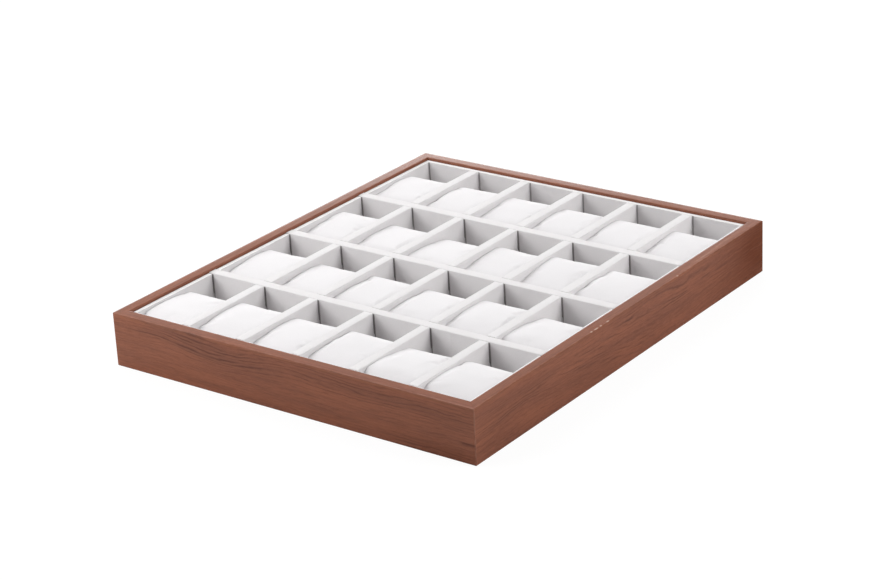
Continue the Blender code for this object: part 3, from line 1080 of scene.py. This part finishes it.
def fill_with_cloth(pillows, sizes):
    """Swells every blank at once as pressurised cloth, and keeps where its points went, capped."""
    scene = bpy.context.scene
    rests = {}
    for pillow in pillows:
        remesh = pillow.modifiers.new("even", "REMESH")
        remesh.mode = "VOXEL"
        remesh.voxel_size = sizes.cloth_spacing
        bake_modifiers(pillow)
        rests[pillow] = read_points(pillow.data)
    for pillow in pillows:
        cloth = pillow.modifiers.new("fill", "CLOTH")
        cloth.settings.use_pressure = True
        cloth.settings.uniform_pressure_force = sizes.pressure
        cloth.settings.effector_weights.gravity = 0.0
        cloth.settings.mass = 0.1
        cloth.settings.quality = 5
        cloth.point_cache.frame_start = 1
        cloth.point_cache.frame_end = sizes.cloth_frames
    for step in range(1, sizes.cloth_frames + 1):
        scene.frame_set(step)
    for pillow in pillows:
        swollen = evaluated_mesh(pillow)
        moved = read_points(swollen) - rests[pillow]
        reach = np.linalg.norm(moved, axis=1, keepdims=True)
        capped = moved * np.minimum(1.0, sizes.swell_cap / np.maximum(reach, 1e-9))
        pillow.modifiers.clear()
        write_points(pillow.data, rests[pillow] + capped)
        bpy.data.meshes.remove(swollen)
    scene.frame_set(1)


def lift_side_edges(points, low, high, sizes):
    """Brings the upper edges of the two sides level with the top beside them, as on a boxed cushion."""
    strip_start, strip_end = 0.5 * MM, 1.8 * MM
    edge_start, edge_width = 0.6 * MM, 0.35 * MM
    fade_depth, fade_width = 3.0 * MM, 1.6 * MM
    end_share, end_width = 0.42, 0.06
    curve_degree = 6
    middle, half = (low.x + high.x) / 2, (high.x - low.x) / 2 + FIT_GAP
    share = (points[:, 1] - (low.y + high.y) / 2) / (high.y - low.y)
    for side in (-1, 1):
        inwards = half - side * (points[:, 0] - middle)
        beside = (inwards > strip_start) & (inwards < strip_end) & (np.abs(share) < 0.40)
        beside &= points[:, 2] > (low.z + high.z) / 2
        curve = np.polyfit(share[beside], points[beside, 2], curve_degree)
        level = np.polyval(curve, share) - sizes.edge_drop
        near = np.clip((edge_start - inwards) / edge_width, 0.0, 1.0)
        below = np.clip((points[:, 2] - level + fade_depth) / fade_width, 0.0, 1.0)
        ends = np.clip((end_share - np.abs(share)) / end_width, 0.0, 1.0)
        points[:, 2] += np.maximum(level - points[:, 2], 0.0) * near * below * ends


def sew_pillow(pillow, sizes, seed):
    """Smooths the filled cushion, draws in its end caps' seams and keeps it inside its cell."""
    pucker_length, hollow_length = 3.5 * MM, 14 * MM
    floor_gap = 0.1 * MM
    subdivision = pillow.modifiers.new("fine", "SUBSURF")
    subdivision.levels = subdivision.render_levels = 1
    bake_modifiers(pillow)
    data = pillow.data
    data.shade_smooth()
    low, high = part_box(pillow.name.removesuffix("_filled"))
    points = read_points(data)
    normals = read_normals(data)
    middle, half = (low.x + high.x) / 2, (high.x - low.x) / 2 + FIT_GAP
    band = sizes.side_band

    def from_wall():
        return np.clip(half - np.abs(points[:, 0] - middle), 0.0, None)

    seam = bell(np.abs(normals[:, 0]), 0.72, 0.13) * (1.0 + 0.35 * ripple(points, pucker_length, seed))
    hollows = ripple(points, hollow_length, seed + 11) * np.clip(from_wall() / band - 0.5, 0.0, 1.0)
    depth = sizes.seam_depth * seam - sizes.softness * hollows
    points -= normals * depth[:, None]
    inwards = from_wall()
    pressed = np.where(inwards < band, band * (inwards / band) ** sizes.side_press, inwards)
    points[:, 0] = middle + np.sign(points[:, 0] - middle) * (half - pressed)
    lift_side_edges(points, low, high, sizes)
    points[:, 1] = np.maximum(points[:, 1], low.y - FIT_GAP)
    points[:, 2] = np.maximum(points[:, 2], FLOOR_TOP + floor_gap)
    write_points(data, points)


def nap_tree():
    """Short fibres that stand out of the fabric along the edges that a path follows."""
    inputs = {
        "Edges": "NodeSocketGeometry",
        "Spacing": "NodeSocketFloat",
        "Length": "NodeSocketFloat",
        "Width": "NodeSocketFloat",
        "Spread": "NodeSocketFloat",
        "Seed": "NodeSocketInt",
        "Suede": "NodeSocketMaterial",
    }
    outputs = {"Geometry": "NodeSocketGeometry"}
    g, given, result = new_group("GeometryNodeTree", "edge nap", inputs, outputs)
    lines = g.node("GeometryNodeMeshToCurve", {0: given["Edges"]}).outputs[0]
    spacing = {"Curve": lines, "Length": given["Spacing"]}
    along = g.node("GeometryNodeResampleCurve", spacing, mode="LENGTH")
    roots = {"Curve": along.outputs[0]}
    points = g.node("GeometryNodeCurveToPoints", roots, mode="EVALUATED").outputs[0]
    spread = given["Spread"]
    back = g.times(spread, -1.0)
    low = g.even(back)
    high = g.even(spread)
    jitter_inputs = {0: low, 1: high, "Seed": given["Seed"]}
    jitter = g.node("FunctionNodeRandomValue", jitter_inputs, data_type="FLOAT_VECTOR").outputs[0]
    moved = g.node("GeometryNodeSetPosition", {"Geometry": points, "Offset": jitter}).outputs[0]
    cone = {"Vertices": 3, "Radius Top": 0.0, "Radius Bottom": given["Width"], "Depth": given["Length"]}
    fibre = g.node("GeometryNodeMeshCone", cone).outputs[0]
    tilt_seed = g.plus(given["Seed"], 1.0)
    tilt_inputs = {0: (-0.9, -0.9, 0.0), 1: (0.9, 0.9, 6.28), "Seed": tilt_seed}
    tilt = g.node("FunctionNodeRandomValue", tilt_inputs, data_type="FLOAT_VECTOR").outputs[0]
    turned = g.node("FunctionNodeEulerToRotation", {0: tilt}).outputs[0]
    size_seed = g.plus(given["Seed"], 2.0)
    size_inputs = {2: 0.5, 3: 1.2, "Seed": size_seed}
    size = g.node("FunctionNodeRandomValue", size_inputs, data_type="FLOAT").outputs[1]
    planting = {"Points": moved, "Instance": fibre, "Rotation": turned, "Scale": size}
    planted = g.node("GeometryNodeInstanceOnPoints", planting).outputs[0]
    real = g.node("GeometryNodeRealizeInstances", {"Geometry": planted}).outputs[0]
    finished = g.node("GeometryNodeSetMaterial", {"Geometry": real, "Material": given["Suede"]})
    g.feed(result.inputs["Geometry"], finished.outputs[0])
    return g.tree


def nap_edges():
    """Lines along the upper edges of every divider, broken where another one crosses it."""
    sink = 0.3 * MM
    mesh = bmesh.new()
    ways = ((LONG_DIVIDERS, CROSS_DIVIDERS, 0), (CROSS_DIVIDERS, LONG_DIVIDERS, 1))
    for names, crossing, axis in ways:
        cross = 1 - axis
        slots = [place for slot in slots_for(crossing, axis, MM) for place in slot]
        for low, high in map(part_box, names):
            cuts = [low[axis], *slots, high[axis]]
            for side in (low[cross] + sink, high[cross] - sink):
                for run in zip(cuts[::2], cuts[1::2]):
                    ends = []
                    for place in run:
                        spot = [0.0, 0.0, high.z - sink]
                        spot[axis], spot[cross] = place, side
                        ends.append(mesh.verts.new(spot))
                    mesh.edges.new(ends)
    data = bpy.data.meshes.new("edge_nap")
    mesh.to_mesh(data)
    mesh.free()
    return data


def soft_light(name, power):
    """A softbox at its place in SOFTBOXES, facing the tray and unseen by the camera."""
    azimuth, elevation, distance, width, height = SOFTBOXES[name]
    turn, lift = radians(azimuth), radians(elevation)
    place = Vector((sin(turn) * cos(lift), -cos(turn) * cos(lift), sin(lift))) * distance
    target = Vector((0, 0, 20 * MM))
    light = bpy.data.lights.new(name, "AREA")
    light.shape = "RECTANGLE"
    light.size, light.size_y = width, height
    light.energy = power
    made = bpy.data.objects.new(name, light)
    bpy.context.scene.collection.objects.link(made)
    made.location = place
    made.rotation_mode = "QUATERNION"
    made.rotation_quaternion = (target - place).to_track_quat("-Z", "Y")
    made.visible_camera = False
    return made


def floor_material(sizes):
    """Pale studio board, lit from below as on a light table and see-through from under it."""
    material, graph, shader = new_material("studio_floor")
    coordinates = graph.object_place()
    tooth = graph.noise(coordinates, (0.004, 0.004, 0.004), detail=3.0)
    shade = graph.remap(tooth, 0.2, 0.8, 0.985, 1.0)
    seen = graph.node("ShaderNodeLightPath").outputs["Is Camera Ray"]
    lit = graph.math("MULTIPLY_ADD", seen, sizes.table_share - 1.0, 1.0)
    colour = graph.scaled(tuple(sizes.floor_colour), graph.times(shade, lit))
    graph.feed(shader.inputs["Base Color"], colour)
    graph.feed(shader.inputs["Emission Strength"], graph.times(seen, sizes.table_glow))
    from_under = graph.node("ShaderNodeNewGeometry").outputs["Backfacing"]
    graph.feed(shader.inputs["Alpha"], graph.minus(1.0, from_under))
    shader.inputs["Roughness"].default_value = 0.9
    shader.inputs["Specular IOR Level"].default_value = 0.1
    shader.inputs["Emission Color"].default_value = rgba((1.0, 1.0, 1.0))
    return material


def aim_camera(sizes):
    """The photograph's view: a long lens from the front right and above, tilted a little."""
    azimuth, elevation, roll = sizes.azimuth, sizes.elevation, sizes.roll
    back = Vector((sin(azimuth) * cos(elevation), -cos(azimuth) * cos(elevation), sin(elevation)))
    level = Vector((cos(azimuth), sin(azimuth), 0.0))
    upright = back.cross(level)
    across = level * cos(roll) + upright * sin(roll)
    up = upright * cos(roll) - level * sin(roll)
    middle = (CAD_LOW + CAD_HIGH) / 2
    middle.z = RIM_HEIGHT
    lens = bpy.data.cameras.new("camera")
    lens.lens = sizes.focal_length
    lens.sensor_width = 36.0
    lens.clip_start, lens.clip_end = 0.1, 50.0
    camera = bpy.data.objects.new("camera", lens)
    bpy.context.scene.collection.objects.link(camera)
    axes = Matrix((across, up, back)).transposed()
    place = middle + back * sizes.distance + across * sizes.slide_across + up * sizes.slide_up
    camera.matrix_world = Matrix.Translation(place) @ axes.to_4x4()
    bpy.context.scene.camera = camera


def length_setting(label, meaning, millimetres):
    return FloatProperty(name=label, description=meaning, default=millimetres * MM, unit="LENGTH")


def share_setting(label, meaning, share):
    return FloatProperty(name=label, description=meaning, default=share, subtype="FACTOR")


def colour_setting(label, meaning, colour):
    return FloatVectorProperty(name=label, description=meaning, default=colour, subtype="COLOR")


def angle_setting(label, meaning, degrees):
    return FloatProperty(name=label, description=meaning, default=radians(degrees), subtype="ANGLE")


def power_setting(label, meaning, watts):
    return FloatProperty(name=label, description=meaning, default=watts, unit="POWER")


class TRAY_PG_rails(bpy.types.PropertyGroup):
    outer_radius: length_setting("Outer edge", "Rounding of the rim's outer edge", 0.6)
    inner_radius: length_setting("Inner edge", "Rounding of the rim's inner edge", 0.25)
    foot_chamfer: length_setting("Foot chamfer", "Chamfer along the foot of each rail", 0.5)
    corner_radius: length_setting("Upright corner", "Rounding of the four upright corners", 0.5)
    joint_gap: length_setting("Joint gap", "Half the width of the line at each mitre", 0.04)
    station_spacing: length_setting("Mesh spacing", "Length of the mesh along a rail", 2.5)
    unevenness: length_setting("Unevenness", "How far the sanded rim dips", 0.12)
    # How strongly the worn edges and their painted highlights show
    edge_wear_and_highlight: share_setting("Edge wear", "How far the outer edges are rubbed", 0.55)
    line_spacing: length_setting("Line spacing", "Distance from growth line to growth line", 2.8)
    lacquer: share_setting("Lacquer", "How much the clear lacquer reflects", 0.27)
    light_colour: colour_setting("Sapwood", "The lightest grain", (0.304, 0.114, 0.067))
    middle_colour: colour_setting("Grain", "The usual grain", (0.225, 0.088, 0.056))
    dark_colour: colour_setting("Heartwood", "The dark bands", (0.122, 0.058, 0.045))
    line_colour: colour_setting("Lines", "Pores and growth lines", (0.056, 0.026, 0.021))
    # Colour of the worn edges and of their painted highlights
    wear_and_highlight_colour: colour_setting("Rubbed edge", "Where the stain is rubbed thin", (0.40, 0.20, 0.14))
    stain_colour: colour_setting("Stain", "Redder stain towards one end", (0.130, 0.036, 0.016))
    core_colour: colour_setting("Core", "What a knock lays bare", (0.62, 0.44, 0.36))


class TRAY_PG_grid(bpy.types.PropertyGroup):
    divider_radius: length_setting("Divider edge", "Rounding of the dividers' top edges", 0.7)
    lining_radius: length_setting("Lining edge", "Rounding of the linings' top edges", 0.2)
    lining_wrap: length_setting("Lining wrap", "Suede folded over the linings' tops", 0.3)
    corner_rounding: length_setting("Fabric turn", "Rounding where the suede turns into a slot", 0.45)
    slit: length_setting("Slit", "Gap where two boards meet", 0.15)
    # Width of the corner strips darkened with painted shade
    painted_shade_margin: length_setting("Bare margin", "Board that the suede leaves bare in the corners", 0.85)
    slit_reach: length_setting("Slit reach", "Length over which the board is drawn in", 6.0)
    board_spacing: length_setting("Mesh spacing", "Length of the mesh along a board", 2.5)
    waviness: length_setting("Waviness", "How far the suede lies from flat", 0.14)
    nap_length: length_setting("Nap length", "Length of the fibres along the edges", 0.5)
    nap_width: length_setting("Nap width", "Half the width of a fibre", 0.05)
    nap_spacing: length_setting("Nap spacing", "Distance from fibre to fibre", 0.5)
    suede_colour: colour_setting("Suede", "Colour of dividers and linings", (0.815, 0.795, 0.798))
    felt_colour: colour_setting("Felt", "Colour of the felt underneath", (0.42, 0.41, 0.40))


class TRAY_PG_pillows(bpy.types.PropertyGroup):
    shoulder_radius: length_setting("Shoulder", "Rounding of the front and back shoulders", 13.0)
    side_radius: length_setting("Side", "Rounding of the sides before filling", 0.4)
    crown: length_setting("Crown", "Rise of the top at its middle", 1.2)
    slack: length_setting("Slack", "How much smaller the unfilled pillow is", 0.15)
    cloth_spacing: length_setting("Cloth spacing", "Mesh of the cloth that is filled", 1.7)
    cloth_frames: IntProperty(name="Filling steps", description="Steps of the simulation", default=16)
    pressure: FloatProperty(name="Pressure", description="Pressure of the filling", default=6.0)
    swell_cap: length_setting("Swell cap", "Furthest that the cloth may move", 1.2)
    side_band: length_setting("Side band", "Width over which the sides are pressed flat", 3.2)
    side_press: FloatProperty(
        name="Side press", description="How firmly they are pressed: 1 is not at all", default=2.5
    )
    edge_drop: length_setting("Edge drop", "How far the sides' upper edges lie below the top", 0.25)
    seam_depth: length_setting("Seam depth", "How far the end seams draw in", 0.05)
    softness: length_setting("Softness", "Gentle hollows in the filling", 0.12)
    suede_colour: colour_setting("Suede", "Colour of the pillows", (0.850, 0.832, 0.842))


class TRAY_PG_stage(bpy.types.PropertyGroup):
    azimuth: angle_setting("Azimuth", "Way round the tray from its front", 37.1334)
    elevation: angle_setting("Elevation", "Height of the view", 22.8679)
    roll: angle_setting("Roll", "Tilt of the camera", -2.9968)
    distance: length_setting("Distance", "From camera to rim", 2005.54)
    slide_across: length_setting("Slide across", "How far the camera is moved to its right", -9.21)
    slide_up: length_setting("Slide up", "How far the camera is moved up", -19.47)
    focal_length: FloatProperty(name="Focal length", description="In millimetres", default=105.0)
    floor_colour: colour_setting("Floor", "Colour of the studio floor", (0.90, 0.90, 0.90))
    table_glow: FloatProperty(name="Light table", description="Glow that the camera sees", default=0.94)
    table_share: share_setting("Shadow", "Share of the lights' shadow that it sees", 0.10)
    under: power_setting("Underside", "Light on the underside alone", 0.9)
    backdrop: power_setting("Backdrop", "Low wide light behind the tray", 27.3)
    backdrop_top: power_setting("Backdrop top", "Dimmer strip above it", 5.2)
    key: power_setting("Key light", "Softbox above the back left", 5.9)
    front_left: power_setting("Front left", "Softbox at the front left", 9.9)
    right_back: power_setting("Right back", "Softbox at the back right", 8.7)
    right: power_setting("Right", "Softbox at the right", 4.6)


class TRAY_OT_rails(bpy.types.Operator):
    """Make the four mitred rails and their walnut veneer"""

    bl_idname = "tray.rails"
    bl_label = "Walnut Rails"

    def execute(self, context):
        sizes = context.scene.tray_rails
        veneer = walnut_material(sizes)
        tree = rail_tree()
        outline = [(-inwards, -height, 0.0) for inwards, height in rail_section(sizes)]
        section = guide_curve("rail_section", outline, True)
        for seed, (name, (length, place, turn)) in enumerate(RAIL_SIDES.items()):
            stations = [(x, 0.0, 0.0) for x in rail_stations(name, length, sizes.station_spacing)]
            path = guide_curve("rail_path", stations, False)
            rail = add_piece(name + "_veneered", bpy.data.meshes.new(name), veneer)
            sweep = rail.modifiers.new("sweep", "NODES")
            sweep.node_group = tree
            values = {
                "Path": path,
                "Section": section,
                "Half Length": length / 2,
                "Joint Gap": sizes.joint_gap,
                "Corner Radius": sizes.corner_radius,
                "Unevenness": sizes.unevenness,
                "Seed": float(seed),
                "Veneer": veneer,
            }
            set_modifier_inputs(sweep, values)
            bake_modifiers(rail)
            finish_veneer(name, rail.data, length, sizes, seed)
            rail.data.shade_smooth()
            rail.data.set_sharp_from_angle(angle=radians(35))
            rail.data.transform(Matrix.Translation(place) @ Matrix.Rotation(turn, 4, "Z"))
            settle(rail, "walnut_veneer", name)
            bpy.data.objects.remove(path)
        bpy.data.objects.remove(section)
        return {"FINISHED"}


class TRAY_OT_base(bpy.types.Operator):
    """Finish the base board, the felt under it and the lining on it"""

    bl_idname = "tray.base"
    bl_label = "Base, Felt and Floor Lining"

    def execute(self, context):
        sizes = context.scene.tray_grid
        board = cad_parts["base_board"]
        board.data.materials.clear()
        board.data.materials.append(fibreboard_material())
        felt = napped_material("rolled_felt", sizes.felt_colour, FELT_NAP, FELT_SHEEN)
        suede = suede_of("walls", sizes)
        sheets = (("underside_felt", felt, "grey_felt"), ("floor_lining", suede, "pale_suede_walls"))
        for seed, (node, material, slot) in enumerate(sheets):
            piece = add_piece(node + "_sheet", make_soft_slab(node, sizes, seed, 0.25 * MM), material)
            settle(piece, slot, node)
        return {"FINISHED"}


class TRAY_OT_grid(bpy.types.Operator):
    """Make the suede-wrapped linings and the half-lapped dividers"""

    bl_idname = "tray.grid"
    bl_label = "Dividers and Linings"

    def execute(self, context):
        sizes = context.scene.tray_grid
        suede = suede_of("walls", sizes)
        low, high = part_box(LONG_DIVIDERS[0])
        left_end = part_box("left_lining")[1].x + FIT_GAP
        right_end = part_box("right_lining")[0].x - FIT_GAP
        ears = [(low.x, left_end), (right_end, high.x)]
        crossings = slots_for(CROSS_DIVIDERS, 0) + ears
        slots = slots_for(LONG_DIVIDERS, 1)
        divider = (sizes.divider_radius, 0.0)
        lining = (sizes.lining_radius, sizes.lining_wrap)
        boards = [(name, *divider, crossings, "lower") for name in LONG_DIVIDERS]
        boards += [(name, *divider, slots, "upper") for name in CROSS_DIVIDERS]
        boards += [(name, *lining, slots, "upper") for name in ("left_lining", "right_lining")]
        boards += [(name, *lining, [], "upper") for name in ("front_lining", "back_lining")]
        for name, *shape in boards:
            piece = add_piece(name + "_wrapped", wrapped_board(name, sizes, *shape), suede)
            settle(piece, "pale_suede_walls", name)
        return {"FINISHED"}


class TRAY_OT_nap(bpy.types.Operator):
    """Raise short fibres along the top edges of the dividers"""

    bl_idname = "tray.nap"
    bl_label = "Edge Nap"

    def execute(self, context):
        sizes = context.scene.tray_grid
        nap = add_piece("edge_nap", nap_edges(), suede_of("walls", sizes))
        grow = nap.modifiers.new("grow", "NODES")
        grow.node_group = nap_tree()
        values = {
            "Spacing": sizes.nap_spacing,
            "Length": sizes.nap_length,
            "Width": sizes.nap_width,
            "Spread": sizes.nap_width * 3,
            "Seed": 5,
            "Suede": suede_of("walls", sizes),
        }
        set_modifier_inputs(grow, values)
        bake_modifiers(nap)
        settle(nap, "pale_suede_walls")
        return {"FINISHED"}


class TRAY_OT_pillows(bpy.types.Operator):
    """Fill the pillows as cloth, sew their end caps and lay each in its cell"""

    bl_idname = "tray.pillows"
    bl_label = "Pillows"

    def execute(self, context):
        sizes = context.scene.tray_pillows
        suede = suede_of("pillows", sizes)
        pillows = [add_piece(name + "_filled", pillow_blank(name, sizes), suede) for name in PILLOWS]
        fill_with_cloth(pillows, sizes)
        for seed, pillow in enumerate(pillows):
            sew_pillow(pillow, sizes, seed)
            pillow.data.materials.clear()
            pillow.data.materials.append(suede)
            settle(pillow, "pale_suede_pillows", pillow.name.removesuffix("_filled"))
        return {"FINISHED"}


class TRAY_OT_stage(bpy.types.Operator):
    """Lay the pale floor, hang the soft lights and aim the camera"""

    bl_idname = "tray.stage"
    bl_label = "Studio"

    def execute(self, context):
        scene = context.scene
        sizes = scene.tray_stage
        mesh = bmesh.new()
        bmesh.ops.create_grid(mesh, x_segments=1, y_segments=1, size=FLOOR_REACH)
        bmesh.ops.translate(mesh, vec=(0.0, 0.0, -FLOOR_GAP), verts=mesh.verts)
        studio_floor = add_piece("studio_floor", mesh_from("studio_floor", mesh), floor_material(sizes))
        studio_floor.visible_shadow = False
        dark_room = bpy.data.worlds.new("dark_room")
        dark_room.use_nodes = True
        dark_room.node_tree.nodes["Background"].inputs["Strength"].default_value = 0.0
        scene.world = dark_room
        for name in SOFTBOXES:
            soft_light(name, getattr(sizes, name))
        scene.view_settings.view_transform = "Standard"
        aim_camera(sizes)
        return {"FINISHED"}


class TRAY_PT_panel(bpy.types.Panel):
    """Builds the finished tray piece by piece"""

    bl_idname = "TRAY_PT_panel"
    bl_label = "Watch Display Tray"
    bl_space_type = "VIEW_3D"
    bl_region_type = "UI"
    bl_category = "Watch Tray"

    def draw(self, context):
        for title, group, operators in PANEL_SECTIONS:
            box = self.layout.box()
            box.label(text=title)
            settings = getattr(context.scene, group)
            for name in settings.__annotations__:
                box.prop(settings, name)
            for operator in operators:
                box.operator(operator.bl_idname)


SETTINGS = {
    "tray_rails": TRAY_PG_rails,
    "tray_grid": TRAY_PG_grid,
    "tray_pillows": TRAY_PG_pillows,
    "tray_stage": TRAY_PG_stage,
}
PANEL_SECTIONS = (
    ("Rails", "tray_rails", (TRAY_OT_rails,)),
    ("Grid and base", "tray_grid", (TRAY_OT_base, TRAY_OT_grid, TRAY_OT_nap)),
    ("Pillows", "tray_pillows", (TRAY_OT_pillows,)),
    ("Studio", "tray_stage", (TRAY_OT_stage,)),
)
OPERATORS = [operator for _, _, operators in PANEL_SECTIONS for operator in operators]
CLASSES = [*SETTINGS.values(), *OPERATORS, TRAY_PT_panel]


def register():
    for made in CLASSES:
        bpy.utils.register_class(made)
    for name, group in SETTINGS.items():
        setattr(bpy.types.Scene, name, PointerProperty(type=group))


def unregister():
    for name in SETTINGS:
        delattr(bpy.types.Scene, name)
    for made in reversed(CLASSES):
        bpy.utils.unregister_class(made)


def main():
    register()
    for operator in OPERATORS:
        group, name = operator.bl_idname.split(".")
        getattr(getattr(bpy.ops, group), name)()


if __name__ == "__main__":
    main()
